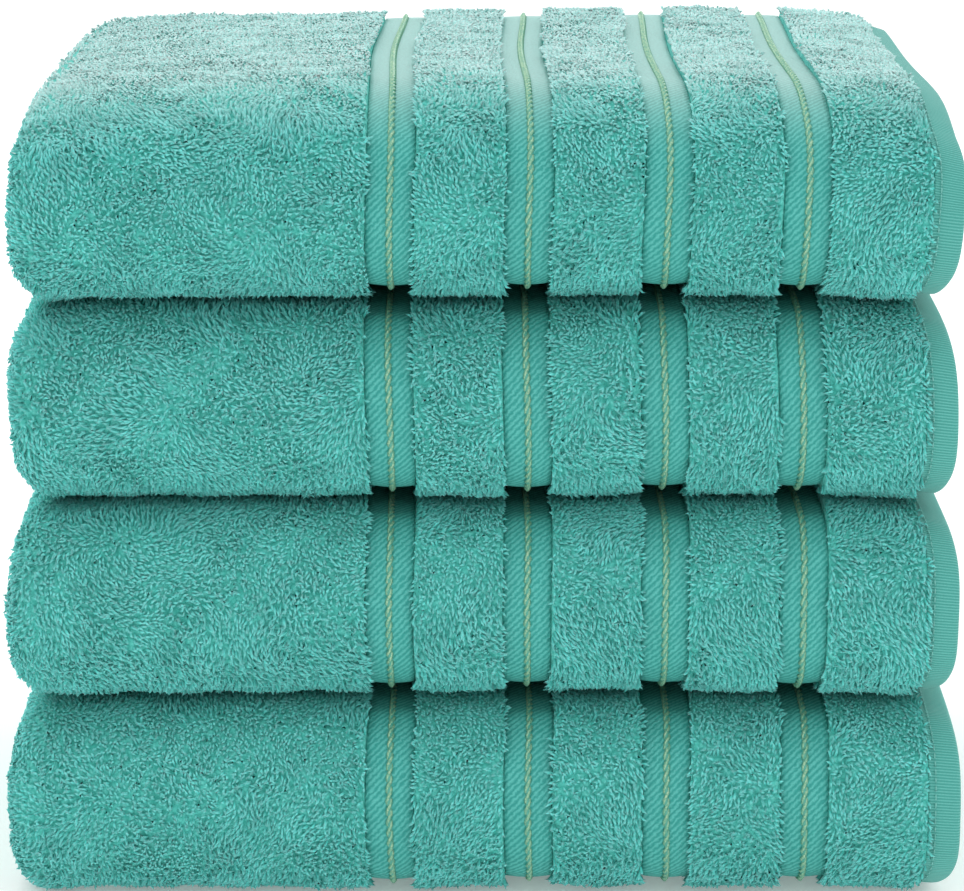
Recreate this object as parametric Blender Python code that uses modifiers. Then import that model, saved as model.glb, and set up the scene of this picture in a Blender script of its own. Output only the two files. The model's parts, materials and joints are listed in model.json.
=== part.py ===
"""A stack of four folded bath towels with flat woven bands and metallic cords.

Each towel is one terry cloth, 1372 x 686 mm when spread out. It is folded in quarters along its
length, which makes a pack of four layers, and the pack is then folded in thirds.

X runs along the folded length, from the rounded fold at -X to the hemmed end at +X.
Y runs from the wide front fold at -Y to the back, and Z is up. The origin is under the middle of
the stack. Sizes are in millimetres and are turned to metres where an object is made.
"""

import math

import bmesh
import bpy
import numpy as np

MM = 0.001

# Overall sizes
TOWELS = 4
FOLDED_LENGTH = 346.0
FOLDED_DEPTH = 245.0
LAYER = 6.05
LAYERS_IN_PACK = 4
FIT = 0.3

# Folds
FRONT_REACH = 42.0
FOLD_SQUARENESS = 2.3
FREE_EDGE_SETBACK = 6.0
TUCK_GAP = 1.0
LEFT_FOLD_BEVEL = 9.0
FRONT_STEPS = 10
BACK_STEPS = 6

# Woven pattern
BANDS = 4
BAND_PITCH = 50.0
BAND_WIDTH = 17.0
LAST_BAND_TO_END = 56.5
BAND_DEPTH = 3.4
CORD_DIAMETER = 2.6
HEM_WIDTH = 12.0
HEM_DEPTH = 2.0
INNER_FOLDS_SETBACK = 1.0

# Worked out from the sizes above
PACK = LAYER * LAYERS_IN_PACK
TOWEL_HEIGHT = 3 * PACK + 2 * FIT
TOWEL_PITCH = TOWEL_HEIGHT + FIT
LEFT = -FOLDED_LENGTH / 2
RIGHT = FOLDED_LENGTH / 2
BACK_RADIUS = PACK + FIT / 2
FRONT_RADIUS = TOWEL_HEIGHT / 2
FRONT_Y = -FOLDED_DEPTH / 2 + FRONT_REACH
BACK_Y = FOLDED_DEPTH / 2 - BACK_RADIUS
FREE_END_Y = FOLDED_DEPTH / 2 - FREE_EDGE_SETBACK
CORD_RADIUS = CORD_DIAMETER / 2
CORD_DEPTH = BAND_DEPTH - FIT - CORD_RADIUS
LAST_CORD_X = RIGHT - LAST_BAND_TO_END
HEM_X = RIGHT - HEM_WIDTH

COLLECTION = "bath_towel_set"
CUTTERS = "bath_towel_set_cutters"


def clear_scene():
    """Removes what the startup scene holds."""
    for obj in list(bpy.data.objects):
        bpy.data.objects.remove(obj, do_unlink=True)


def new_collection(name):
    """A collection of this name, linked to the scene."""
    made = bpy.data.collections.new(name)
    bpy.context.scene.collection.children.link(made)
    return made


def new_material(name, colour, roughness, metallic=0.0):
    """A Principled material with one colour."""
    made = bpy.data.materials.new(name)
    made.use_nodes = True
    made.diffuse_color = (*colour, 1.0)
    shader = made.node_tree.nodes["Principled BSDF"]
    shader.inputs["Base Color"].default_value = (*colour, 1.0)
    shader.inputs["Roughness"].default_value = roughness
    shader.inputs["Metallic"].default_value = metallic
    return made


def back_arc(depth):
    """Points of the back fold, from its top to its bottom, this far below the outer face."""
    radius = BACK_RADIUS - depth
    steps = BACK_STEPS if radius > FIT else 2
    turns = [math.pi * (0.5 - i / steps) for i in range(steps + 1)]
    return [(BACK_Y + radius * math.cos(t), BACK_RADIUS + radius * math.sin(t)) for t in turns]


def squared_arc(reach, rise):
    """Points from the bottom to the top of half a squared ellipse that bulges to the front."""
    power = 2 / FOLD_SQUARENESS
    points = []
    for i in range(FRONT_STEPS + 1):
        turn = math.pi * (i / FRONT_STEPS - 0.5)
        along = max(math.cos(turn), 0.0) ** power
        up = math.copysign(abs(math.sin(turn)) ** power, turn)
        points.append((FRONT_Y - reach * along, FRONT_RADIUS + rise * up))
    return points


def tucked_end(outer, inner, grow):
    """Points of the end that fills the inside of the front fold, from one depth up to another."""
    nose = squared_arc(FRONT_REACH - PACK - TUCK_GAP + grow, PACK / 2 + grow)
    low = FRONT_RADIUS + PACK / 2 - inner
    high = FRONT_RADIUS + PACK / 2 - outer
    along, up = zip(*nose)
    between = [point for point in nose if low + FIT < point[1] < high - FIT]
    return [(np.interp(low, up, along), low)] + between + [(np.interp(high, up, along), high)]


def fold_line(depth):
    """The cloth's path in (y, z), this far below its outer face: back fold, base, front fold."""
    return back_arc(depth) + squared_arc(FRONT_REACH - depth, FRONT_RADIUS - depth)


def fold_outline(outer, inner, grow=0.0):
    """The closed outline of the cloth between two depths, from its tucked end to its free end."""
    free_y = FREE_END_Y + grow
    free = [(free_y, TOWEL_HEIGHT - outer), (free_y, TOWEL_HEIGHT - inner)]
    return tucked_end(outer, inner, grow) + fold_line(outer) + free + fold_line(inner)[::-1]


def fold_strip(name, outer, inner, x_from, x_to, grow=0.0):
    """A folded sheet between two depths and two X positions, as a filled, extruded 2D curve."""
    outline = fold_outline(outer, inner, grow)
    data = bpy.data.curves.new(name, "CURVE")
    data.dimensions = "2D"
    data.fill_mode = "BOTH"
    data.extrude = (x_to - x_from) / 2 * MM
    spline = data.splines.new("POLY")
    spline.points.add(len(outline) - 1)
    for point, (y, z) in zip(spline.points, outline):
        point.co = (y * MM, z * MM, 0.0, 1.0)
    spline.use_cyclic_u = True
    made = bpy.data.objects.new(name, data)
    made.rotation_euler = (math.pi / 2, 0.0, math.pi / 2)
    made.location.x = (x_from + x_to) / 2 * MM
    return made


def fold_cord(name, x):
    """A round cord that follows the fold on top of a flat band."""
    data = bpy.data.curves.new(name, "CURVE")
    data.dimensions = "3D"
    data.bevel_depth = CORD_RADIUS * MM
    data.bevel_resolution = 1
    data.use_fill_caps = True
    line = [(FRONT_Y, 2 * PACK + FIT - CORD_DEPTH)]
    line += fold_line(CORD_DEPTH)
    line += [(FREE_END_Y, TOWEL_HEIGHT - CORD_DEPTH)]
    spline = data.splines.new("POLY")
    spline.points.add(len(line) - 1)
    for point, (y, z) in zip(spline.points, line):
        point.co = (x * MM, y * MM, z * MM, 1.0)
    return bpy.data.objects.new(name, data)


def as_mesh(curve_object, collection):
    """Swaps a curve object for a mesh object with the same name, place and shape."""
    name = curve_object.name
    collection.objects.link(curve_object)
    bpy.context.view_layer.update()
    graph = bpy.context.evaluated_depsgraph_get()
    data = bpy.data.meshes.new_from_object(curve_object.evaluated_get(graph))
    data.transform(curve_object.matrix_world)
    bpy.data.objects.remove(curve_object, do_unlink=True)
    work = bmesh.new()
    work.from_mesh(data)
    bmesh.ops.remove_doubles(work, verts=work.verts, dist=1e-6)
    bmesh.ops.dissolve_limit(work, angle_limit=1e-3, verts=work.verts, edges=work.edges)
    bmesh.ops.recalc_face_normals(work, faces=work.faces)
    work.to_mesh(data)
    work.free()
    made = bpy.data.objects.new(name, data)
    collection.objects.link(made)
    return made


def round_left_end(obj):
    """Bevels the edges at the left end, where the layers turn back on themselves."""
    data = obj.data
    weights = data.attributes.new("bevel_weight_edge", "FLOAT", "EDGE")
    for edge in data.edges:
        ends = [data.vertices[i].co.x for i in edge.vertices]
        if max(ends) < (LEFT + FIT) * MM:
            weights.data[edge.index].value = 1.0
    bevel = obj.modifiers.new("left fold", "BEVEL")
    bevel.limit_method = "WEIGHT"
    bevel.width = LEFT_FOLD_BEVEL * MM
    bevel.segments = 3
    bevel.use_clamp_overlap = False


def terry_field(name, collection, cutters):
    """The plain terry part: the outer layer, and the fold that closes the left end.

    It is a block of the whole pack with the space of the inner folds cut out of it.
    """
    x_to = LAST_CORD_X - (BANDS - 1) * BAND_PITCH - BAND_WIDTH / 2 - FIT / 2
    block = as_mesh(fold_strip(name, 0.0, PACK, LEFT, x_to), collection)
    round_left_end(block)
    cut = fold_strip(
        name + "_cutter",
        LAYER,
        PACK + FIT / 3,
        LEFT + LAYER,
        x_to + LAYER,
        FIT / 3,
    )
    cut = as_mesh(cut, cutters)
    cut.hide_render = True
    cut.display_type = "WIRE"
    space = block.modifiers.new("inner folds space", "BOOLEAN")
    space.operation = "DIFFERENCE"
    space.solver = "EXACT"
    space.object = cut
    return block


def towel(number, collection, cutters, looks):
    """The fifteen pieces of one towel, on the floor."""
    base = f"towel_{number}_"
    field = terry_field(base + "terry_field", collection, cutters)
    field.data.materials.append(looks["pile"])
    inside = fold_strip(
        base + "inner_folds",
        LAYER + FIT,
        PACK,
        LEFT + LAYER + FIT,
        RIGHT - INNER_FOLDS_SETBACK,
    )
    inside.data.materials.append(looks["inner"])
    hem = fold_strip(base + "end_hem", HEM_DEPTH, LAYER, HEM_X + FIT / 2, RIGHT)
    hem.data.materials.append(looks["hem"])
    pieces = [inside, hem]
    for i in range(BANDS):
        x = LAST_CORD_X - (BANDS - 1 - i) * BAND_PITCH
        band_left = x - BAND_WIDTH / 2
        band_right = x + BAND_WIDTH / 2
        stripe_end = x + BAND_PITCH - BAND_WIDTH / 2 if i < BANDS - 1 else HEM_X
        band = fold_strip(
            f"{base}flat_band_{i + 1}",
            BAND_DEPTH,
            LAYER,
            band_left + FIT / 2,
            band_right - FIT / 2,
        )
        band.data.materials.append(looks["band"])
        stripe = fold_strip(
            f"{base}pile_stripe_{i + 1}",
            0.0,
            LAYER,
            band_right + FIT / 2,
            stripe_end - FIT / 2,
        )
        stripe.data.materials.append(looks["pile"])
        cord = fold_cord(f"{base}metallic_cord_{i + 1}", x)
        cord.data.materials.append(looks["cord"])
        pieces += [band, stripe, cord]
    for piece in pieces:
        collection.objects.link(piece)
    level = (number - 1) * TOWEL_PITCH * MM
    for piece in pieces + [field, cutters.objects[base + "terry_field_cutter"]]:
        piece.location.z += level


def main():
    """Builds the stack from the bottom up."""
    clear_scene()
    collection = new_collection(COLLECTION)
    cutters = new_collection(CUTTERS)
    cutters.hide_render = True
    looks = {
        "pile": new_material("terry_pile", (0.085, 0.46, 0.41), 0.95),
        "inner": new_material("inner_terry", (0.08, 0.42, 0.38), 0.95),
        "band": new_material("flat_woven_band", (0.055, 0.38, 0.36), 0.75),
        "hem": new_material("woven_hem", (0.10, 0.44, 0.40), 0.85),
        "cord": new_material("metallic_cord", (0.60, 0.62, 0.33), 0.4, 0.6),
    }
    for number in range(1, TOWELS + 1):
        towel(number, collection, cutters, looks)


main()
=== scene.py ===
# %% [markdown]
# # A stack of four folded bath towels
#
# Each towel is one cotton terry cloth of 1372 x 686 mm. It is folded in quarters along its length,
# and that pack of four layers is folded in thirds. The wide front fold, the rounded left end and the
# stack of edges at the right all come from this one way of folding, so the whole script is built
# round one mapping: a place on the flat cloth goes in, and a place on the folded towel comes out.
# Everything on the cloth, such as the pile, bands, cords and hems, is put there with that mapping.

# %% Load the fixed frame
import json
import math

import bpy
import numpy as np
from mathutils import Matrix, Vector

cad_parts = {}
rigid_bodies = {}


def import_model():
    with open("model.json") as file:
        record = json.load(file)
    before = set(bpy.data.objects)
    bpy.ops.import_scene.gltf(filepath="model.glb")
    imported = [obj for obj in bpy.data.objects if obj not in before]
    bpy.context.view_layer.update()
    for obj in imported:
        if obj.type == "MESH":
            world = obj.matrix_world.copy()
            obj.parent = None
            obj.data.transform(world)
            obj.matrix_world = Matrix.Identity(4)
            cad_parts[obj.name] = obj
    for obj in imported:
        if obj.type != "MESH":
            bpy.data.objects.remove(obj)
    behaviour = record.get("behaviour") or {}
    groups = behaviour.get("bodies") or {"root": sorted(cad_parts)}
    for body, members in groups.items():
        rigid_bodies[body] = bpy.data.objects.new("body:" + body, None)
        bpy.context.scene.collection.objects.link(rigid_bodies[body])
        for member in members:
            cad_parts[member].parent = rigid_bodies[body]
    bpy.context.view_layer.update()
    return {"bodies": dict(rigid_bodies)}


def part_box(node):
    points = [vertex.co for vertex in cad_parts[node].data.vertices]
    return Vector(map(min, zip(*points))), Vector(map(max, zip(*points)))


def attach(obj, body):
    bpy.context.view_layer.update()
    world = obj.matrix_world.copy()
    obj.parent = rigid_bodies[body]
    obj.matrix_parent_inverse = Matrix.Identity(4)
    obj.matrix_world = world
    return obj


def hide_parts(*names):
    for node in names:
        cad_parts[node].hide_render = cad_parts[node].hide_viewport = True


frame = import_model()

# %% [markdown]
# ## Sizes
#
# The folded sizes are measured on the frame's parts, so this script follows them. Lengths below
# are in millimetres, because cloth is made in millimetres, and they turn to metres in one place.

# %% Measure the frame
MM = 0.001
TOWELS = len(frame["bodies"])
BANDS = 4


def box_mm(node):
    """The lowest and highest corner of a frame part, in millimetres."""
    low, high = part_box(node)
    return np.array(low) / MM, np.array(high) / MM


field_low, field_high = box_mm("towel_1_terry_field")
hem_low, hem_high = box_mm("towel_1_end_hem")
band_boxes = [box_mm(f"towel_1_flat_band_{i + 1}") for i in range(BANDS)]
cord_boxes = [box_mm(f"towel_1_metallic_cord_{i + 1}") for i in range(BANDS)]

LEFT = field_low[0]
RIGHT = hem_high[0]
DEPTH = field_high[1] - field_low[1]
HEIGHT = field_high[2] - field_low[2]
PITCH = box_mm("towel_2_terry_field")[0][2] - field_low[2]
FIT = PITCH - HEIGHT
PACK = (HEIGHT - 2 * FIT) / 3
LAYER = PACK / 4
HEM_X = hem_low[0]
HEM_DEPTH = hem_low[2]
BAND_DEPTH = band_boxes[0][0][2]
CORD_RADIUS = (cord_boxes[0][1][0] - cord_boxes[0][0][0]) / 2
CORD_DEPTH = cord_boxes[0][0][2] + CORD_RADIUS
CORD_X = [(low[0] + high[0]) / 2 for low, high in cord_boxes]
BAND_EDGES = [(low[0] - FIT / 2, high[0] + FIT / 2) for low, high in band_boxes]
print(f"towel {HEIGHT:.1f} high, {DEPTH:.1f} deep, pack {PACK:.1f}, layer {LAYER:.2f}")

# %% [markdown]
# ## The fold in thirds, seen from the end
#
# Seen from the side, the pack of four layers starts tucked inside the front fold, runs back as the
# middle layer, turns round the back, runs forward as the bottom, rolls up round the wide front
# fold, and ends on top near the back edge. Straight stretches, one half circle and half of a
# squared ellipse make that line. A depth below the outer face gives the inner layers the same
# line with tighter turns.

# %% The line of the fold
FRONT_REACH = 42.0
FOLD_SQUARENESS = 2.3
TUCK_GAP = 1.0
FREE_EDGE_SETBACK = 6.0
BACK_RADIUS = PACK + FIT / 2
FRONT_RADIUS = HEIGHT / 2
FRONT_Y = -DEPTH / 2 + FRONT_REACH
BACK_Y = DEPTH / 2 - BACK_RADIUS
FREE_END_Y = DEPTH / 2 - FREE_EDGE_SETBACK
TUCK_REACH = FRONT_REACH - PACK - TUCK_GAP


def squared(turn, reach, rise):
    """Half a squared ellipse: the powers of cosine and sine are 2 over the squareness."""
    power = 2 / FOLD_SQUARENESS
    along = np.maximum(np.cos(turn), 0) ** power
    up = np.sign(turn) * np.abs(np.sin(turn)) ** power
    return -reach * along, rise * up


turns = np.linspace(-math.pi / 2, math.pi / 2, 801)
arc_y, arc_z = squared(turns, FRONT_REACH, FRONT_RADIUS)
arc_length = np.concatenate([[0], np.cumsum(np.hypot(np.diff(arc_y), np.diff(arc_z)))])

TUCKED = BACK_Y - FRONT_Y + TUCK_REACH
BACK_END = TUCKED + math.pi * BACK_RADIUS
BOTTOM_END = BACK_END + BACK_Y - FRONT_Y
FRONT_END = BOTTOM_END + arc_length[-1]
PATH = FRONT_END + FREE_END_Y - FRONT_Y


def fold_line(t, n):
    """The y and z of a point t mm along the outer face and n mm below it.

    Straight stretches take their y from t and their height from n. On the back fold the angle
    falls from a quarter turn to minus a quarter turn, and on the front fold the angle comes from
    the length already walked, so that steps in t stay even.
    """
    share = np.clip((PACK / 2 - n) / (PACK / 2), -1, 1)
    nose = FRONT_Y - TUCK_REACH * (1 - np.abs(share) ** FOLD_SQUARENESS) ** (1 / FOLD_SQUARENESS)
    back_turn = math.pi / 2 - np.clip(t - TUCKED, 0, BACK_END - TUCKED) / BACK_RADIUS
    front_turn = np.interp(t - BOTTOM_END, arc_length, turns)
    roll_y, roll_z = squared(front_turn, FRONT_REACH - n, FRONT_RADIUS - n)
    stretches = [t < TUCKED, t < BACK_END, t < BOTTOM_END, t < FRONT_END]
    y = np.select(
        stretches,
        [
            nose + (BACK_Y - nose) * t / TUCKED,
            BACK_Y + (BACK_RADIUS - n) * np.cos(back_turn),
            BACK_Y - (t - BACK_END),
            FRONT_Y + roll_y,
        ],
        FRONT_Y + (t - FRONT_END),
    )
    z = np.select(
        stretches,
        [
            2 * BACK_RADIUS - n,
            BACK_RADIUS + (BACK_RADIUS - n) * np.sin(back_turn),
            n + 0 * t,
            FRONT_RADIUS + roll_z,
        ],
        HEIGHT - n,
    )
    return y, z


print(f"the outer face of the fold is {PATH:.0f} mm long")

# %% [markdown]
# ## The fold in quarters, seen from the front
#
# From its first hem the cloth runs left as the outer layer, turns back inside as the innermost
# layer, turns again at the right end, and runs left and right once more in the middle. The length
# walked from the hem gives the place in x and the depth in the pack. A second number, out, moves
# off the middle of the cloth, towards the face that shows on the outside of the towel.

# %% The line of the layers
INNER_SETBACK = 1.0
OUTER_RADIUS = (PACK - LAYER) / 2
INNER_RADIUS = LAYER / 2
LEFT_CENTRE = LEFT + PACK / 2
RIGHT_CENTRE = RIGHT - INNER_SETBACK - LAYER
SPANS = [
    RIGHT - LEFT_CENTRE,
    math.pi * OUTER_RADIUS,
    RIGHT_CENTRE - LEFT_CENTRE,
    math.pi * INNER_RADIUS,
    RIGHT_CENTRE - LEFT_CENTRE,
    math.pi * INNER_RADIUS,
    RIGHT - LEFT_CENTRE,
]
STARTS = np.concatenate([[0], np.cumsum(SPANS)])
CLOTH = STARTS[-1]


def layer_line(s, out):
    """The x and the depth of a point s mm from the first hem, out mm off the cloth's middle.

    Seven stretches: straight ones have a fixed depth, and the three folds are half circles whose
    angle is the length walked in them over their radius. Out makes a fold's radius larger where
    the outer face is on the outside of it, and smaller where it is inside.
    """
    a, left, c, right, d, inner, b = [s - start for start in STARTS[:-1]]
    left, right, inner = left / OUTER_RADIUS, right / INNER_RADIUS, inner / INNER_RADIUS
    middle = PACK / 2
    stretches = [s < start for start in STARTS[1:-1]]
    x = np.select(
        stretches,
        [
            RIGHT - a,
            LEFT_CENTRE - (OUTER_RADIUS + out) * np.sin(left),
            LEFT_CENTRE + c,
            RIGHT_CENTRE + (INNER_RADIUS + out) * np.sin(right),
            RIGHT_CENTRE - d,
            LEFT_CENTRE - (INNER_RADIUS - out) * np.sin(inner),
        ],
        LEFT_CENTRE + b,
    )
    n = np.select(
        stretches,
        [
            LAYER / 2 - out,
            middle - (OUTER_RADIUS + out) * np.cos(left),
            PACK - LAYER / 2 + out,
            PACK - LAYER + (INNER_RADIUS + out) * np.cos(right),
            middle + INNER_RADIUS - out,
            middle + (INNER_RADIUS - out) * np.cos(inner),
        ],
        middle - INNER_RADIUS + out,
    )
    return x, n


print(f"the four layers are {CLOTH:.0f} mm long, and the flat cloth is 1372 mm")

# %% [markdown]
# ## How the towels settle
#
# Towels that a hand has folded and stacked are never four equal blocks. Each one is a little
# wider, higher or further forward than the next, its ends sink, its shoulders round off, and its
# cords wander. A cloth simulation of twelve touching layers would be slow and hard to steer, so
# smooth moves of a few millimetres do this. Each list below has one value for each towel, from the
# bottom up, and a random seed for each keeps the result the same at every run.

# %% How each towel differs
WIDTH_SHARE = [1.007, 0.991, 0.976, 0.967]
SIDE_SHIFT = [0.2, 0.1, -0.5, 0.3]
FORWARD = [-0.9, 1.7, 4.4, -1.4]
TALL = [75.8, 74.0, 75.6, 75.0]
SHOULDER = [0.5, 0.5, 1.0, 7.0]
HEM_DROOP = [1.0, 1.0, 1.0, 2.5]
RIGHT_RISE = [0.0, 0.0, 0.0, 2.8]
LEFT_NARROW = [0.5, 2.5, 5.0, 2.6]
LEFT_FOOT = [0.0, 0.0, 0.0, 2.4]
RIGHT_FOOT = [6.5, 5.5, 3.0, 6.0]
PULLED_IN = [0.0, 0.0, 0.0, 0.4]
TOP_DROOP = [1.2, 1.2, 1.2, 2.0]
BASE = np.concatenate([[0], np.cumsum(TALL)])
LEFT_END_NARROW = 2.0
RIGHT_END_NARROW = 1.5
RIGHT_FRONT_NARROW = 3.0
CORNER_BULGE = 1.6
END_DROOP = 1.5
END_FROM = 118.0
END_SPAN = 55.0
FRONT_FROM = 20.0
FRONT_FULL = 110.0
RISE_FROM = -105.0
RISE_FULL = -20.0
DROOP_BEFORE_HEM = 8.0
SHOULDER_FROM = 52.0
SHOULDER_SPAN = 48.0
END_SINK_SHARE = 0.006
LOWEST = 0.15
waves = [np.random.default_rng(40 + k).uniform(0, 2 * math.pi, 8) for k in range(TOWELS)]
print("towel heights", TALL, "and the stack", BASE[-1])

# %% Settle the towels


def smooth(value, low, high):
    """0 below low, 1 above high, and three times its square less twice its cube between."""
    share = np.clip((value - low) / (high - low), 0, 1)
    return share * share * (3 - 2 * share)


def settle(k, x, y, z):
    """Moves points of the ideal towel k to where the used towel has them, and stacks them.

    End is the square of the distance past a line near the left or right end, and front grows
    towards the front fold. The ends narrow with the fourth power of the height from the middle,
    most of all at the foot of the front, and they sink. The front shoulder drops with the square
    of the distance past another line, the hem droops, and the top rises from the left end on.
    Each direction gets slow sine waves, with a reach of about a millimetre.
    """
    phase = waves[k]
    level = z / HEIGHT
    off_middle = 2 * level - 1
    end = np.clip((np.abs(x) - END_FROM) / END_SPAN, 0, 1) ** 2
    front = smooth(-y, FRONT_FROM, FRONT_FULL)
    foot = front * (off_middle < 0)
    left = LEFT_END_NARROW + LEFT_NARROW[k] * front + LEFT_FOOT[k] * foot
    right = RIGHT_END_NARROW + RIGHT_FRONT_NARROW * front + RIGHT_FOOT[k] * foot
    narrow = np.where(x < 0, left, right)
    across = x - np.sign(x) * (narrow * off_middle**4 + PULLED_IN[k]) * end
    across = across * WIDTH_SHARE[k] + SIDE_SHIFT[k]
    across += 0.7 * np.sin(y / 33 + phase[0]) + 0.5 * np.sin(z / 15 + y / 47 + phase[1])
    along = y + FORWARD[k]
    along += front * (1.1 * np.sin(x / 41 + phase[2]) + 0.6 * np.sin(x / 19 + z / 23 + phase[3]))
    along += CORNER_BULGE * front * end
    upper = np.clip(off_middle, 0, 1)
    high = z * TALL[k] / HEIGHT
    high -= SHOULDER[k] * np.clip((-SHOULDER_FROM - y) / SHOULDER_SPAN, 0, 1) ** 2 * upper
    high -= HEM_DROOP[k] * smooth(x, HEM_X - DROOP_BEFORE_HEM, RIGHT) * upper
    high -= end * (END_DROOP + TOP_DROOP[k] * level)
    rise = RIGHT_RISE[k] * smooth(x, RISE_FROM, RISE_FULL)
    high += level * (0.6 * np.sin(x / 37 + y / 61 + phase[4]) + rise)
    under = BASE[k] * (1 - END_SINK_SHARE * end)
    high += under
    high = np.where(z < FIT, np.maximum(high, under), high)
    return np.stack([across, along, np.maximum(high, LOWEST)], axis=-1)


def on_towel(k, s, t, out):
    """The point of towel k that is s and t mm along the cloth, and out mm off its middle."""
    s, t, out = np.broadcast_arrays(s, t, out)
    x, n = layer_line(s, out)
    y, z = fold_line(t, n)
    return settle(k, x, y, z)


print("a corner of the top towel", np.round(on_towel(TOWELS - 1, 0.0, FRONT_END, 0.0), 1))

# %% [markdown]
# ## Putting arrays into meshes
#
# A mesh is filled straight from whole arrays, which is much faster than a loop over its points.
# One function makes the object, and it turns the faces round if the closed shape that they make
# has a negative volume, so they always point outwards.

# %% Make a piece
triangle_counts = {}


def volume(points, faces):
    """The signed volume of a closed mesh: a sixth of the sum of each triangle's triple product."""
    total = 0.0
    for group in faces:
        for i in range(1, group.shape[1] - 1):
            a, b, c = points[group[:, 0]], points[group[:, i]], points[group[:, i + 1]]
            total += np.einsum("ij,ij->i", a, np.cross(b, c)).sum() / 6
    return total


def make_piece(name, points, faces, finish, body, uv=None, marks=None, normals=None):
    """An object at the origin from points in mm and groups of faces with equal corner counts.

    Normals, where they are given, are the directions that light is worked out with at each point.
    """
    points = np.asarray(points, float).reshape(-1, 3)
    if volume(points - points.mean(0), faces) < 0:
        faces = [group[:, ::-1] for group in faces]
    corners = np.concatenate([group.ravel() for group in faces]).astype(np.int32)
    counts = np.concatenate([np.full(len(group), group.shape[1]) for group in faces])
    starts = np.concatenate([[0], np.cumsum(counts)[:-1]]).astype(np.int32)
    mesh = bpy.data.meshes.new(name)
    mesh.vertices.add(len(points))
    mesh.vertices.foreach_set("co", (points * MM).astype(np.float32).ravel())
    mesh.loops.add(len(corners))
    mesh.loops.foreach_set("vertex_index", corners)
    mesh.polygons.add(len(counts))
    mesh.polygons.foreach_set("loop_start", starts)
    mesh.polygons.foreach_set("loop_total", counts.astype(np.int32))
    mesh.update(calc_edges=True)
    mesh.shade_smooth()
    for title, values in (marks or {}).items():
        mark = mesh.attributes.new(title, "FLOAT", "POINT")
        mark.data.foreach_set("value", np.asarray(values, np.float32).ravel())
    if normals is not None:
        mark = mesh.attributes.new("custom_normal", "FLOAT_VECTOR", "POINT")
        mark.data.foreach_set("vector", np.asarray(normals, np.float32).ravel())
    if uv is not None:
        layer = mesh.uv_layers.new(name="weave")
        layer.data.foreach_set("uv", np.asarray(uv, np.float32).reshape(-1, 2)[corners].ravel())
    mesh.materials.append(finish)
    made = bpy.data.objects.new(name, mesh)
    bpy.context.scene.collection.objects.link(made)
    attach(made, body)
    triangle_counts[name] = int((counts - 2).sum())
    return made


corner = np.vstack([np.zeros(3), np.eye(3)])
sides = np.array([[0, 2, 1], [0, 1, 3], [0, 3, 2], [1, 2, 3]])
print("the corner of a cube has a volume of", round(volume(corner, [sides]), 4))

# %% Grids and directions


def grid_faces(rows, columns, first=0):
    """The quads of a grid of points, as indices counted from first."""
    index = first + np.arange(rows * columns).reshape(rows, columns)
    return np.stack([index[:-1, :-1], index[1:, :-1], index[1:, 1:], index[:-1, 1:]], -1).reshape(-1, 4)


def closed_sheet(top, bottom):
    """Points and faces of a cloth with thickness: two grids, and a strip round their rims."""
    rows, columns = top.shape[:2]
    size = rows * columns
    index = np.arange(size).reshape(rows, columns)
    rim = np.concatenate([index[0, :-1], index[:-1, -1], index[-1, :0:-1], index[:0:-1, 0]])
    after = np.roll(rim, -1)
    strip = np.stack([rim, after, after + size, rim + size], -1)
    upper = grid_faces(rows, columns)
    lower = grid_faces(rows, columns, size)[:, ::-1]
    points = np.concatenate([top.reshape(-1, 3), bottom.reshape(-1, 3)])
    return points, [np.concatenate([upper, lower, strip])]


def unit(vectors):
    """Each vector over its own length."""
    return vectors / np.maximum(np.linalg.norm(vectors, axis=-1, keepdims=True), 1e-9)


def path_steps(*stretches):
    """Places along t: each stretch is (from, to, step), and they share their end points."""
    parts = [np.linspace(a, b, max(int(round((b - a) / step)), 1) + 1)[:-1] for a, b, step in stretches]
    return np.concatenate([*parts, [stretches[-1][1]]])


print("a sheet of 3 by 4 points has", len(closed_sheet(*np.zeros((2, 3, 4, 3)))[1][0]), "faces")

# %% [markdown]
# ## Finishes
#
# All the cloth is ring-spun cotton dyed aqua. The same dye looks different on each weave: loops
# stand up and shade each other, the flat bands are smooth with diagonal ribs, and the hem has fine
# cross ribs. Only the cords, of metallised film, and the polyester stitches are other materials.
# One function adds a node, sets it up and links it, and colours are written as sRGB hex.

# %% Material helpers


def linear(code):
    """An sRGB hex colour as linear red, green, blue and alpha."""
    parts = [int(code[i : i + 2], 16) / 255 for i in (1, 3, 5)]
    return (*[p / 12.92 if p <= 0.04045 else ((p + 0.055) / 1.055) ** 2.4 for p in parts], 1.0)


def new_finish(name):
    """A material with an empty Principled shader, as (material, node tree, shader)."""
    made = bpy.data.materials.new(name)
    made.use_nodes = True
    return made, made.node_tree, made.node_tree.nodes["Principled BSDF"]


def add(tree, kind, inputs=None, **settings):
    """Adds a node: settings are its own values, and inputs are sockets' values or links."""
    made = tree.nodes.new(kind)
    for key, value in settings.items():
        setattr(made, key, value)
    for key, value in (inputs or {}).items():
        if isinstance(value, bpy.types.NodeSocket):
            tree.links.new(value, made.inputs[key])
        else:
            made.inputs[key].default_value = value
    return made


def ramp(node, *stops):
    """Sets a colour ramp's stops, each (position, hex)."""
    elements = node.color_ramp.elements
    while len(elements) < len(stops):
        elements.new(0.5)
    for element, (position, code) in zip(elements, stops):
        element.position = position
        element.color = linear(code)


print("mid grey in linear light is", round(linear("#808080")[0], 3))

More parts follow.
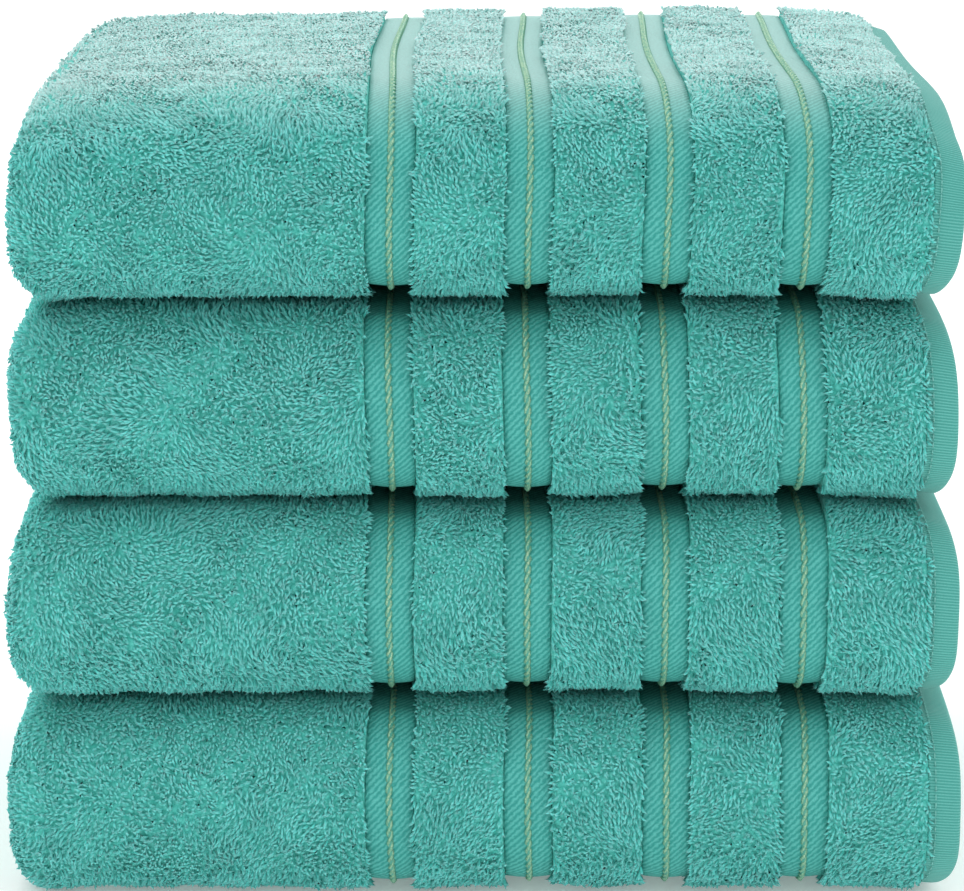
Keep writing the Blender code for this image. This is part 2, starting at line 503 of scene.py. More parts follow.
# %% [markdown]
# ### Cotton terry pile
#
# Terry loops are soft twisted yarn, dyed right through. The eye sees pale tips, deep shade
# between the loops, and clouds of lighter and darker tone where the pile leans a different way.
# The height along the loop and a number of its own for each loop are kept as attributes on the
# mesh, and the clouds come from noise on Object coordinates. The colour along the height is painted
# shade at the root and painted light at the tip. Where the top towel faces up, the overhead light
# that it catches is painted in as well: a third attribute says how much of a pale painted sheen
# covers the dye. Cotton lets light through, so a little of it spreads under the surface, which keeps
# the gaps between the loops coloured.

# %% Pile finish
PAINTED_SHEEN_TONE = "#DCEDEA"
CLOUD_MM = 13
CLOUD_SHARE = 2.6
FIBRE_MM = 0.5
pile_finish, tree, shader = new_finish("dyed_cotton_terry_loops")
height = add(tree, "ShaderNodeAttribute", attribute_name="pile_height")
yarn = add(tree, "ShaderNodeAttribute", attribute_name="yarn_tone")
place = add(tree, "ShaderNodeTexCoord")
clouds = add(
    tree,
    "ShaderNodeTexNoise",
    {"Vector": place.outputs["Object"], "Scale": 1 / (CLOUD_MM * MM), "Detail": 3.0},
)
fibres = add(
    tree,
    "ShaderNodeTexNoise",
    {"Vector": place.outputs["Object"], "Scale": 1 / (FIBRE_MM * MM), "Detail": 2.0},
)
# Painted shade and light: the ramp along the loop's height darkens its root and pales its tip.
shade = add(tree, "ShaderNodeValToRGB", {"Fac": height.outputs["Fac"]})
ramp(shade, (0.0, "#42BAAE"), (0.55, "#66CFC7"), (1.0, "#7BD9D3"))
# Painted sheen: a pale tone mixed in where the top towel faces up, for the light its top catches.
painted_top_sheen = add(tree, "ShaderNodeAttribute", attribute_name="painted_top_sheen")
with_painted_sheen = add(
    tree,
    "ShaderNodeMix",
    {"Factor": painted_top_sheen.outputs["Fac"], 6: shade.outputs["Color"], 7: linear(PAINTED_SHEEN_TONE)},
    data_type="RGBA",
)
tone = add(
    tree,
    "ShaderNodeMath",
    {0: clouds.outputs["Fac"], 1: CLOUD_SHARE, 2: yarn.outputs["Fac"]},
    operation="MULTIPLY_ADD",
)
tone = add(tree, "ShaderNodeMath", {0: tone.outputs[0], 1: fibres.outputs["Fac"]}, operation="ADD")
light = add(
    tree,
    "ShaderNodeMapRange",
    {"Value": tone.outputs[0], "From Min": 1.3, "From Max": 3.3, "To Min": 0.74, "To Max": 1.26},
)
colour = add(
    tree,
    "ShaderNodeHueSaturation",
    {"Color": with_painted_sheen.outputs[2], "Value": light.outputs["Result"]},
)
tree.links.new(colour.outputs["Color"], shader.inputs["Base Color"])
shader.inputs["Roughness"].default_value = 0.92
shader.inputs["Specular IOR Level"].default_value = 0.1
shader.inputs["Subsurface Weight"].default_value = 0.6
shader.inputs["Subsurface Radius"].default_value = (0.5, 1.0, 0.95)
shader.inputs["Subsurface Scale"].default_value = 1.2 * MM
print(pile_finish.name, "with clouds", CLOUD_MM, "mm wide")

# %% [markdown]
# ### Ground cloth
#
# Under the loops lies the ground weave, which shows in gaps and at the layered ends of the towel.
# Real pile covers it there too, so it is painted and embossed as pressed loops: cells of one
# loop's width, bent by noise so that they don't look like scales. Their pale middles are painted
# light on the loops' tops, and their darker rims are painted shade in the gaps between the loops.

# %% Ground finish
LOOP_MM = 1.9
BEND_MM = 3
BEND_WAVE_MM = 4
ground_finish, tree, shader = new_finish("dyed_cotton_ground_weave")
place = add(tree, "ShaderNodeTexCoord")
drift = add(
    tree,
    "ShaderNodeTexNoise",
    {"Vector": place.outputs["Object"], "Scale": 1 / (BEND_WAVE_MM * MM), "Detail": 2.0},
)
bent = add(
    tree,
    "ShaderNodeVectorMath",
    {0: drift.outputs["Color"], 1: [BEND_MM * MM] * 3, 2: place.outputs["Object"]},
    operation="MULTIPLY_ADD",
)
loops = add(
    tree,
    "ShaderNodeTexVoronoi",
    {"Vector": bent.outputs["Vector"], "Scale": 1 / (LOOP_MM * MM)},
)
# Painted shade: the ramp darkens each cell towards its rim and pales its middle.
shade = add(tree, "ShaderNodeValToRGB", {"Fac": loops.outputs["Distance"]})
ramp(shade, (0.1, "#78DFD5"), (0.45, "#60CEC3"), (0.8, "#48B5A9"))
lift = add(
    tree,
    "ShaderNodeBump",
    {"Height": loops.outputs["Distance"], "Strength": 0.9, "Distance": 0.9 * MM},
    invert=True,
)
tree.links.new(shade.outputs["Color"], shader.inputs["Base Color"])
tree.links.new(lift.outputs["Normal"], shader.inputs["Normal"])
shader.inputs["Roughness"].default_value = 0.95
shader.inputs["Specular IOR Level"].default_value = 0.15
shader.inputs["Sheen Weight"].default_value = 0.1
print(ground_finish.name, "with cells", LOOP_MM, "mm wide")

# %% [markdown]
# ### Flat weaves
#
# The bands are a tight twill: diagonal ribs, smoother than the pile. Real ribs are about a
# millimetre and a half apart, and here they are drawn at twice that, so that they still show from
# a step away. They have to follow the cloth round its folds, so they read the band's own UV map,
# where 1 is 100 mm of cloth. The hem is another flat weave, with fine ribs that run across the
# edge, about a millimetre apart. One function gives both their ribs and the grain of their threads.

# %% Ribs and grain
UV_MM = 100.0
UV_CM = UV_MM / 10
RIB_RELIEF_MM = 0.25


def woven(tree, shader, cloth, turns, stops, threads_a_cm, detail, darkest):
    """The colour of a flat weave, whose ribs also give the shader its bump.

    A rib's height is the sine of its turns along the cloth, and it picks a colour from the stops:
    the darker ones in the grooves are painted shade, and the paler ones on the crests painted light.
    Noise as fine as the threads makes that a little darker or paler.
    """
    rib = add(tree, "ShaderNodeMath", {0: turns}, operation="SINE")
    height = add(
        tree,
        "ShaderNodeMapRange",
        {"Value": rib.outputs[0], "From Min": -1.0, "From Max": 1.0},
    )
    # Painted shade and light: grooves take the darker stops, crests the paler ones.
    shade = add(tree, "ShaderNodeValToRGB", {"Fac": height.outputs["Result"]})
    ramp(shade, *stops)
    grain = add(
        tree,
        "ShaderNodeTexNoise",
        {"Vector": cloth, "Scale": UV_CM * threads_a_cm, "Detail": detail},
    )
    light = add(
        tree,
        "ShaderNodeMapRange",
        {"Value": grain.outputs["Fac"], "From Min": 0.3, "From Max": 0.7, "To Min": darkest, "To Max": 1.1},
    )
    colour = add(
        tree,
        "ShaderNodeHueSaturation",
        {"Color": shade.outputs["Color"], "Value": light.outputs["Result"]},
    )
    lift = add(
        tree,
        "ShaderNodeBump",
        {"Height": height.outputs["Result"], "Strength": 0.6, "Distance": RIB_RELIEF_MM * MM},
    )
    tree.links.new(lift.outputs["Normal"], shader.inputs["Normal"])
    return colour.outputs["Color"]


print("ribs", RIB_RELIEF_MM, "mm high")

# %% Band finish
RIB_MM = 2.9
RIB_LEAN = -1.1
WANDERS_A_CM = 6.0
RIB_SWAY = 7.0
band_finish, tree, shader = new_finish("dyed_cotton_twill_band")
cloth = add(tree, "ShaderNodeUVMap", uv_map="weave").outputs["UV"]
parts = add(tree, "ShaderNodeSeparateXYZ", {"Vector": cloth})
climb = add(
    tree,
    "ShaderNodeMath",
    {0: parts.outputs["X"], 1: RIB_LEAN, 2: parts.outputs["Y"]},
    operation="MULTIPLY_ADD",
)
turns_of_rib = add(
    tree,
    "ShaderNodeMath",
    {0: climb.outputs[0], 1: 2 * math.pi * UV_MM / RIB_MM},
    operation="MULTIPLY",
)
wander = add(
    tree,
    "ShaderNodeTexNoise",
    {"Vector": cloth, "Scale": UV_CM * WANDERS_A_CM, "Detail": 3.0},
)
swayed = add(
    tree,
    "ShaderNodeMath",
    {0: wander.outputs["Fac"], 1: RIB_SWAY, 2: turns_of_rib.outputs[0]},
    operation="MULTIPLY_ADD",
)
stops = [(0.0, "#3C9D95"), (0.5, "#51AFA7"), (1.0, "#63C0B8")]
ribs = swayed.outputs[0]
colour = woven(tree, shader, cloth, ribs, stops, threads_a_cm=26.0, detail=2.0, darkest=0.88)
# Painted sheen: the same pale tone as on the pile, mixed in where the top towel faces up.
painted_top_sheen = add(tree, "ShaderNodeAttribute", attribute_name="painted_top_sheen")
with_painted_sheen = add(
    tree,
    "ShaderNodeMix",
    {"Factor": painted_top_sheen.outputs["Fac"], 6: colour, 7: linear(PAINTED_SHEEN_TONE)},
    data_type="RGBA",
)
tree.links.new(with_painted_sheen.outputs[2], shader.inputs["Base Color"])
shader.inputs["Roughness"].default_value = 0.72
shader.inputs["Specular IOR Level"].default_value = 0.12
shader.inputs["Sheen Weight"].default_value = 0.02
print(band_finish.name, "with ribs", RIB_MM, "mm apart")

# %% Hem finish
HEM_RIB_MM = 1.15
hem_finish, tree, shader = new_finish("dyed_cotton_ribbed_hem")
cloth = add(tree, "ShaderNodeUVMap", uv_map="weave").outputs["UV"]
parts = add(tree, "ShaderNodeSeparateXYZ", {"Vector": cloth})
turns_of_rib = add(
    tree,
    "ShaderNodeMath",
    {0: parts.outputs["Y"], 1: 2 * math.pi * UV_MM / HEM_RIB_MM},
    operation="MULTIPLY",
)
stops = [(0.0, "#429A90"), (0.6, "#57ACA3"), (1.0, "#68BAB1")]
ribs = turns_of_rib.outputs[0]
colour = woven(tree, shader, cloth, ribs, stops, threads_a_cm=20.0, detail=3.0, darkest=0.9)
tree.links.new(colour, shader.inputs["Base Color"])
shader.inputs["Roughness"].default_value = 0.8
shader.inputs["Specular IOR Level"].default_value = 0.25
shader.inputs["Sheen Weight"].default_value = 0.15
print(hem_finish.name, "with ribs", HEM_RIB_MM, "mm apart")

# %% [markdown]
# ### Metallised yarn
#
# The cord is two plies of pale gold film yarn twisted together over a cotton core. The film is
# aluminium under a thin yellow lacquer, so it has a tinted metal shine, but it is wound so openly
# on its cotton that the eye sees about a third metal and two thirds greenish cotton.

# %% Cord finish
FLECK_MM = 0.7
METAL_SHARE = 0.35
cord_finish, tree, shader = new_finish("gold_metallised_film_yarn")
place = add(tree, "ShaderNodeTexCoord")
film = add(tree, "ShaderNodeAttribute", attribute_name="film")
flecks = add(
    tree,
    "ShaderNodeTexNoise",
    {"Vector": place.outputs["Object"], "Scale": 1 / (FLECK_MM * MM), "Detail": 2.0},
)
gold = add(tree, "ShaderNodeValToRGB", {"Fac": flecks.outputs["Fac"]})
ramp(gold, (0.3, "#65AD96"), (0.5, "#8AC0A0"), (0.75, "#C6DEBA"))
shade = add(
    tree,
    "ShaderNodeMix",
    {"Factor": film.outputs["Fac"], 6: linear("#55A999"), 7: gold.outputs["Color"]},
    data_type="RGBA",
)
shine = add(tree, "ShaderNodeMath", {0: film.outputs["Fac"], 1: METAL_SHARE}, operation="MULTIPLY")
lift = add(
    tree,
    "ShaderNodeBump",
    {"Height": flecks.outputs["Fac"], "Strength": 0.5, "Distance": 0.2 * MM},
)
tree.links.new(shade.outputs[2], shader.inputs["Base Color"])
tree.links.new(shine.outputs[0], shader.inputs["Metallic"])
tree.links.new(lift.outputs["Normal"], shader.inputs["Normal"])
shader.inputs["Roughness"].default_value = 0.42
print(cord_finish.name, "with a metal share of", METAL_SHARE)

# %% [markdown]
# ### Sewing thread
#
# The hem is sewn with spun polyester thread in the towel's colour. It is smoother than cotton, so
# it shines a little, and its twist shows as fine paler and darker flecks.

# %% Sewing thread finish
TWIST_FLECK_MM = 0.4
thread_finish, tree, shader = new_finish("dyed_polyester_sewing_thread")
place = add(tree, "ShaderNodeTexCoord")
twist = add(
    tree,
    "ShaderNodeTexNoise",
    {"Vector": place.outputs["Object"], "Scale": 1 / (TWIST_FLECK_MM * MM), "Detail": 1.0},
)
shade = add(tree, "ShaderNodeValToRGB", {"Fac": twist.outputs["Fac"]})
ramp(shade, (0.3, "#5BB0A7"), (0.7, "#8AD2C9"))
tree.links.new(shade.outputs["Color"], shader.inputs["Base Color"])
shader.inputs["Roughness"].default_value = 0.5
print(thread_finish.name, "with flecks", TWIST_FLECK_MM, "mm long")

# %% [markdown]
# ## The folded cloth
#
# The ground of each towel is one closed sheet that follows both folds, with its two hems and two
# selvedges where they really are. It lies deeper under the bands and the hem than under the pile,
# most of all where the towel lies on another, and it is thick enough to close the gaps that the
# pile of the inner layers fills on a real towel.

# %% How deep the cloth lies
HALF_THICK = 2.45
PILE_GROUND = 1.15
UNDER_WEAVE = 0.9
BAND_GROUND = LAYER / 2 - BAND_DEPTH - UNDER_WEAVE
HEM_GROUND = LAYER / 2 - HEM_DEPTH - UNDER_WEAVE
EDGE_ROUND = 2.5
EDGE_THICK_SHARE = 0.25
GROUND_SINK = 1.4
DROP_ENDS = 0.3
DROP_STARTS = 1.3
HEM_DROP = 0.5
TAPER_NEAR = 2.0
TAPER_FAR = 14.0
BACK_BLEND = 18.0
CONTACT_NEAR = 8.0
CONTACT_FAR = 22.0


def contact(t):
    """1 where the towel lies on its neighbour or the floor, and 0 on its free sides."""
    bottom = smooth(t, BACK_END - BACK_BLEND, BACK_END)
    bottom = bottom * (1 - smooth(t, BOTTOM_END + CONTACT_NEAR, BOTTOM_END + CONTACT_FAR))
    top = smooth(t, FRONT_END - CONTACT_FAR, FRONT_END - CONTACT_NEAR)
    return np.maximum(bottom, top)


def ground_out(s, t):
    """How far the outer face of the cloth lies off its middle.

    It is the pile ground's height where loops show, on the outside and on the inner fold at the
    right end. It drops in the bands and the hem, and rises to half the thickness inside the pack.
    """
    x = RIGHT - s
    level = np.full_like(x, PILE_GROUND)
    for low, high in BAND_EDGES:
        past_low = smooth(x, low - DROP_STARTS, low - DROP_ENDS)
        inside = past_low * (1 - smooth(x, high + DROP_ENDS, high + DROP_STARTS))
        level += (BAND_GROUND - PILE_GROUND - GROUND_SINK * contact(t)) * inside
    hem = smooth(x, HEM_X - HEM_DROP, HEM_X + HEM_DROP)
    level += (HEM_GROUND - PILE_GROUND - GROUND_SINK * contact(t)) * hem
    inner = smooth(s, STARTS[2] + TAPER_NEAR, STARTS[2] + TAPER_FAR)
    bare_fold = smooth(s, STARTS[3] - TAPER_FAR, STARTS[3] - TAPER_NEAR)
    bare_fold = bare_fold * (1 - smooth(s, STARTS[4] + TAPER_NEAR, STARTS[4] + TAPER_FAR))
    covered = inner * (1 - bare_fold)
    return level * (1 - covered) + HALF_THICK * covered + (PILE_GROUND - level) * bare_fold


print(f"off the middle: pile {PILE_GROUND}, bands {BAND_GROUND:.2f} and hem {HEM_GROUND:.2f} mm")

# %% Make the folded cloth


def row_places():
    """Places along s for the cloth's rows: close at band edges and folds, wide elsewhere."""
    edges = [RIGHT - x for pair in BAND_EDGES for x in pair] + [RIGHT - HEM_X]
    near = np.add.outer(edges, [-DROP_STARTS, -DROP_ENDS, DROP_ENDS, DROP_STARTS]).ravel()
    outer = np.arange(0, SPANS[0], 12.0)
    folds = [np.linspace(STARTS[i], STARTS[i + 1], 9) for i in (1, 3, 5)]
    inside = [np.linspace(STARTS[i], STARTS[i + 1], 10) for i in (2, 4, 6)]
    rim = np.array([0, 0.6, 1.5, 3.0])
    return np.unique(np.round(np.concatenate([near, outer, *folds, *inside, rim, CLOTH - rim]), 3))


cloth_s = row_places()
cloth_t = path_steps(
    (0, 4, 1.0),
    (4, TUCKED, 16),
    (TUCKED, BACK_END, 6),
    (BACK_END, BOTTOM_END, 14),
    (BOTTOM_END, FRONT_END, 4.0),
    (FRONT_END, PATH - 4, 9),
    (PATH - 4, PATH, 1.0),
)
print("cloth grid", len(cloth_s), "by", len(cloth_t))


def make_cloth(k):
    """One towel's whole cloth: the two faces meet in rounded edges at the hems and selvedges."""
    s, t = np.meshgrid(cloth_s, cloth_t, indexing="ij")
    nearest = np.minimum(np.minimum(s, CLOTH - s), np.minimum(t, PATH - t))
    rounded = np.sqrt(1 - (1 - np.clip(nearest / EDGE_ROUND, 0, 1)) ** 2)
    rounded = EDGE_THICK_SHARE + (1 - EDGE_THICK_SHARE) * rounded
    outer = ground_out(s, t)
    middle = (outer - HALF_THICK) / 2
    top = on_towel(k, s, t, middle + (outer - middle) * rounded)
    bottom = on_towel(k, s, t, middle - (outer - middle) * rounded)
    points, faces = closed_sheet(top, bottom)
    body = f"towel_{k + 1}"
    made = make_piece(f"{body}_cloth", points, faces, ground_finish, body)
    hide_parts(f"{body}_inner_folds")
    return made


cloths = [make_cloth(k) for k in range(TOWELS)]
print("cloth triangles", triangle_counts["towel_1_cloth"])

# %% [markdown]
# ## The flat bands
#
# Four flat bands cross each towel. Each is a strip that crowns a little towards its middle, where
# the cord is woven in, and dips at its edges, where the pile starts. Under the weight of another
# towel it lies flat and deep. On top of the stack the bands get the same pale painted sheen as the
# pile, so both ask one function how much.

# %% Places along a strip, and the fuzz on it
PAINTED_SHEEN_COVER = [0.0, 0.0, 0.0, 0.55]
EDGE_GAP = 1.5
SHEEN_BEFORE = 45.0
SHEEN_AFTER = 30.0
strip_t = path_steps(
    (EDGE_GAP, TUCKED, 8),
    (TUCKED, BACK_END, 4),
    (BACK_END, BOTTOM_END, 8),
    (BOTTOM_END, FRONT_END, 2.2),
    (FRONT_END, PATH - EDGE_GAP, 5),
)


def painted_sheen_at(k, s, t, out):
    """How much pale painted sheen covers the cloth: a share that grows over the front shoulder.

    It is painted light where the cloth faces up, and it fades again where the cloth faces aside.
    Only the top towel has it, because the others' tops lie under the towel above.
    """
    near = on_towel(k, s, t, out)
    outward = unit(on_towel(k, s, t, out + 1.0) - near)
    over_shoulder = smooth(t, FRONT_END - SHEEN_BEFORE, FRONT_END + SHEEN_AFTER)
    return PAINTED_SHEEN_COVER[k] * over_shoulder * smooth(outward[..., 2], 0, 0.6)


top_painted_sheen = painted_sheen_at(TOWELS - 1, RIGHT, PATH - 20, 0.0)
print("places along a strip", len(strip_t), "and fuzz on top", round(float(top_painted_sheen), 2))

# %% Make the bands
BAND_THICK = 0.9
BAND_CROWN = 0.7
BAND_COLUMNS = 11
CONTACT_FLAT = 0.8
CONTACT_SINK = 1.2
BAND_SHEEN_SHARE = 0.8


def make_band(k, i):
    """One band: crowned by one less the square of the place across it, from -1 to 1."""
    low, high = BAND_EDGES[i]
    share = np.linspace(-1, 1, BAND_COLUMNS)
    s, t = np.meshgrid(RIGHT - (low + high) / 2 - share * (high - low) / 2, strip_t, indexing="ij")
    crown = BAND_CROWN * (1 - share[:, None] ** 2) * (1 - CONTACT_FLAT * contact(t))
    out = LAYER / 2 - BAND_DEPTH + (crown - CONTACT_SINK * contact(t))
    points, faces = closed_sheet(on_towel(k, s, t, out), on_towel(k, s, t, out - BAND_THICK))
    uv = np.stack([-s, t], -1) / UV_MM
    body = f"towel_{k + 1}"
    made = make_piece(
        f"{body}_band_{i + 1}",
        points,
        faces,
        band_finish,
        body,
        uv=[uv, uv],
        # Painted sheen on the top towel's upward-facing band.
        marks={"painted_top_sheen": [BAND_SHEEN_SHARE * painted_sheen_at(k, s, t, out)] * 2},
    )
    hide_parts(f"{body}_flat_band_{i + 1}")
    return made


bands = [[make_band(k, i) for i in range(BANDS)] for k in range(TOWELS)]
print("band triangles", triangle_counts["towel_1_band_1"])

# %% [markdown]
# ## The metallic cords
#
# Down the middle of each band runs a cord of two plies on a core. A ply is a yarn whose centre
# winds round the cord's own line, half a turn from the other ply, so both are helices carried along
# the folded path. The twist is what catches the light in slanting dashes. The core closes the gap
# between the plies, so that the cord looks full from every side.

# %% A tube along a line
TWIST_MM = 8.6
STEPS_A_TURN = 8
CORD_FROM = 2.5
CORD_TO_END = 2.0
cord_count = int(PATH / TWIST_MM * STEPS_A_TURN)
cord_t = np.linspace(CORD_FROM, PATH - CORD_TO_END, cord_count)


def tube(centre, outward, radius, sides, first):
    """Points and faces of a closed tube: a ring of points square to the centre line at each step."""
    ahead = unit(np.gradient(centre, axis=0))
    side = unit(np.cross(ahead, outward))
    up = np.cross(side, ahead)
    turn = 2 * math.pi * np.arange(sides) / sides
    ring = np.cos(turn)[:, None] * side[:, None] + np.sin(turn)[:, None] * up[:, None]
    index = first + np.arange(len(centre) * sides).reshape(-1, sides)
    after = np.roll(index, -1, axis=1)
    wall = np.stack([index[:-1], index[1:], after[1:], after[:-1]], -1).reshape(-1, 4)
    caps = np.stack([index[0], index[-1][::-1]])
    return (centre[:, None] + radius * ring).reshape(-1, 3), wall, caps


print("steps along a ply", cord_count)

# %% Make the cords
PLY_RADIUS = 0.68
PLY_OFFSET = 0.66
PLY_SIDES = 4
CORE_RADIUS = 0.75
CORE_SIDES = 6
CORE_EVERY = 3
CORD_SEAT = 0.35
CORD_SUNK = 0.6


def make_cord(k, i):
    """A cotton core and two film plies wound round it, along the middle of a band.

    A ply's centre is the cord's line plus its offset times cosine and sine of the twist, in the
    plane of the cloth's own across and outward directions.
    """
    s = RIGHT - CORD_X[i]

    def line_at(t):
        """The cord's line, and its across and outward directions, at places along t."""
        out = LAYER / 2 - CORD_DEPTH - CORD_SEAT - (CORD_SUNK + CONTACT_SINK) * contact(t)
        line = on_towel(k, s, t, out)
        return line, unit(on_towel(k, s - 0.5, t, out) - line), unit(on_towel(k, s, t, out + 0.5) - line)

    line, _, outward = line_at(cord_t[::CORE_EVERY])
    parts = [tube(line, outward, CORE_RADIUS, CORE_SIDES, 0)]
    line, across, outward = line_at(cord_t)
    angle = -2 * math.pi * cord_t / TWIST_MM
    for ply in range(2):
        turn = angle[:, None] + ply * math.pi
        centre = line + PLY_OFFSET * (np.cos(turn) * across + np.sin(turn) * outward)
        parts.append(tube(centre, outward, PLY_RADIUS, PLY_SIDES, sum(len(part[0]) for part in parts)))
    caps = [part[2] for part in parts]
    film = np.concatenate([np.full(len(part[0]), float(ply > 0)) for ply, part in enumerate(parts)])
    body = f"towel_{k + 1}"
    made = make_piece(
        f"{body}_cord_{i + 1}",
        np.concatenate([part[0] for part in parts]),
        [np.concatenate([part[1] for part in parts] + caps[1:]), caps[0]],
        cord_finish,
        body,
        marks={"film": film},
    )
    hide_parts(f"{body}_metallic_cord_{i + 1}")
    return made


cords = [[make_cord(k, i) for i in range(BANDS)] for k in range(TOWELS)]
print("cord triangles", triangle_counts["towel_1_cord_1"])

# %% [markdown]
# ## The hems
#
# Both ends of the cloth finish in a flat hem, one on the outer layer and one on the layer under
# it. A hem is the weave folded double, so it has a full round edge, and it has a shallow groove
# where its stitches pull it in.

# %% Make the hems
HEM_THICK = 3.2
HEM_ROUND = 2.2
HEM_RIM = 0.1
HEM_LIFT = 0.2
GROOVE_AT = 9.6
GROOVE_DEPTH = 0.5
GROOVE_WIDTH = 0.9
hem_steps = np.array([0.0, 0.5, 1.3, 2.6, 5.0, 8.0, 10.0, 11.2, RIGHT - HEM_X])


def make_hems(k):
    """Two closed strips whose thickness falls as a circle to the edge.

    The groove is a bell curve of the distance from it, in its own widths.
    """
    points, faces, uv = [], [], []
    count = 0
    inward = hem_steps[:, None]
    half = HEM_THICK / 2 * np.sqrt(1 - (1 - np.clip(inward / HEM_ROUND, 0, 1)) ** 2) + HEM_RIM
    dip = GROOVE_DEPTH * np.exp(-(((inward - GROOVE_AT) / GROOVE_WIDTH) ** 2))
    for start, sign, face in ((0.0, 1, LAYER / 2 - HEM_DEPTH), (CLOTH, -1, -HALF_THICK + HEM_LIFT)):
        s, t = np.meshgrid(start + sign * hem_steps, strip_t, indexing="ij")
        middle = face - sign * HEM_THICK / 2 - (CONTACT_SINK * contact(t) if sign > 0 else 0)
        top = on_towel(k, s, t, middle + sign * (half - dip))
        bottom = on_towel(k, s, t, middle - sign * half)
        sheet_points, sheet_faces = closed_sheet(top, bottom)
        if volume(sheet_points - sheet_points.mean(0), sheet_faces) < 0:
            sheet_faces = [group[:, ::-1] for group in sheet_faces]
        points.append(sheet_points)
        faces.append(sheet_faces[0] + count)
        count += len(sheet_points)
        one = np.stack([-s, t], -1) / UV_MM
        uv += [one.reshape(-1, 2)] * 2
    body = f"towel_{k + 1}"
    made = make_piece(
        f"{body}_hems",
        np.concatenate(points),
        [np.concatenate(faces)],
        hem_finish,
        body,
        uv=np.concatenate(uv),
    )
    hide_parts(f"{body}_end_hem")
    return made


hems = [make_hems(k) for k in range(TOWELS)]
print("hem triangles", triangle_counts["towel_1_hems"])

# %% [markdown]
# ## Buds: the shape of one loop
#
# Seen from arm's length a terry loop is a short soft bud that leans over. A curve swept round a
# loop would take hundreds of faces, and tens of thousands of loops make the pile, so each bud has
# only seven points: a small root ring, a wider ring below its tip, and the tip. Real loops are
# finer, and these are drawn about twice as thick. The same bud, laid down, is a stitch of the hem.

# %% The bud
BUD_SIDES = 3
BUD_POINTS = 2 * BUD_SIDES + 1
WIDE_AT = 0.64
WIDE_HEIGHT = 0.6
ROOT_SHARE = 0.75


def buds(root, first, second, length, width, spin):
    """Points, faces, heights and round directions of many closed buds.

    The root ring lies at the root, the wide ring at WIDE_AT of the length along the first
    direction, and the tip goes on from there along the second. Rings are circles in the plane
    square to the first direction, turned by spin. A point's round direction is its place on its
    ring, and the tip's is the second direction.
    """
    count = len(root)
    belly = root + first * (WIDE_AT * length)[:, None]
    tip = belly + second * ((1 - WIDE_AT) * length)[:, None]
    other = np.where(np.abs(first[:, :1]) < 0.8, [[1.0, 0.0, 0.0]], [[0.0, 1.0, 0.0]])
    side = unit(np.cross(first, other))
    up = np.cross(first, side)
    turn = spin[:, None] + 2 * math.pi * np.arange(BUD_SIDES) / BUD_SIDES
    circle = np.cos(turn)[..., None] * side[:, None] + np.sin(turn)[..., None] * up[:, None]
    root_ring = root[:, None] + ROOT_SHARE * width[:, None, None] * circle
    belly_ring = belly[:, None] + width[:, None, None] * circle
    points = np.concatenate([root_ring, belly_ring, tip[:, None]], axis=1)
    rounds = np.concatenate([circle, circle, second[:, None]], axis=1)
    near = np.arange(BUD_SIDES)
    after = np.roll(near, -1)
    walls = np.stack([near, after, after + BUD_SIDES, near + BUD_SIDES], -1)
    tops = np.stack([near + BUD_SIDES, after + BUD_SIDES, np.full(BUD_SIDES, BUD_POINTS - 1)], -1)
    floors = near[::-1][None]
    shift = BUD_POINTS * np.arange(count)[:, None, None]
    faces = [(walls + shift).reshape(-1, 4), (tops + shift).reshape(-1, 3), (floors + shift).reshape(-1, 3)]
    heights = np.concatenate([np.zeros(BUD_SIDES), np.full(BUD_SIDES, WIDE_HEIGHT), [1.0]])
    return points.reshape(-1, 3), faces, np.tile(heights, count), rounds


def join_triangles(faces):
    """Groups of faces with equal corner counts become one group each."""
    quads = [group for group in faces if group.shape[1] == 4]
    triangles = [group for group in faces if group.shape[1] == 3]
    return [np.concatenate(group) for group in (quads, triangles) if group]


print("points of a bud", BUD_POINTS)

# %% [markdown]
# ### Hem stitches
#
# One row of lockstitch runs along the hem, a little way in from the pile, and pulls a shallow
# groove into it. Each stitch is a bud laid along the hem. The row on the second hem lies inside the
# pack, where it can't be seen, so only the outer row is made.

# %% Sew the hems
STITCH_IN = 9.3
STITCH_PITCH = 3.2
STITCH_LENGTH = 2.5
STITCH_RADIUS = 0.3
STITCH_STANDS = 0.1
STITCH_RISE = 0.12
STITCH_DIP = 0.25
STITCHES_FROM = 4.0
STITCHES_TO_END = 6.0


def make_stitches(k):
    """A row of buds that point along t, each rising a little and dipping back into the hem."""
    t = np.arange(STITCHES_FROM, PATH - STITCHES_TO_END, STITCH_PITCH)
    out = LAYER / 2 - HEM_DEPTH + STITCH_STANDS - CONTACT_SINK * contact(t)
    root = on_towel(k, STITCH_IN, t, out)
    along = unit(on_towel(k, STITCH_IN, t + 1.0, out) - root)
    outward = unit(on_towel(k, STITCH_IN, t, out + 1.0) - root)
    length = np.full(len(t), STITCH_LENGTH)
    width = np.full(len(t), STITCH_RADIUS)
    first = unit(along + STITCH_RISE * outward)
    second = unit(along - STITCH_DIP * outward)
    points, faces, _, _ = buds(root, first, second, length, width, np.zeros(len(t)))
    body = f"towel_{k + 1}"
    name = f"{body}_hem_stitches"
    return make_piece(name, points, join_triangles(faces), thread_finish, body)


stitches = [make_stitches(k) for k in range(TOWELS)]
print("stitches on each hem", triangle_counts["towel_1_hem_stitches"] // 10)

# %% [markdown]
# ## The pile
#
# Loops stand in rows on the loom, but washing and folding turn them every way. Each loop gets a
# lean: a slow swirl shared with its neighbours, the pull of gravity, and some disorder of its
# own. At the edge of a stripe the loops also fall outwards over the band, and low on the front
# fold they hang down over the towel below. Where a towel lies on another the pile is pressed flat
# and thinner, and inside the pack there is none, apart from the inner fold at the right end.
#
# Hair particles could grow a pile too, but a set of hairs has no closed surface to export. Buds
# are real faces, and one call makes a whole stripe. Their shading normals lean towards the
# cloth's own outward direction, so that the pile looks soft and not like cut paper.

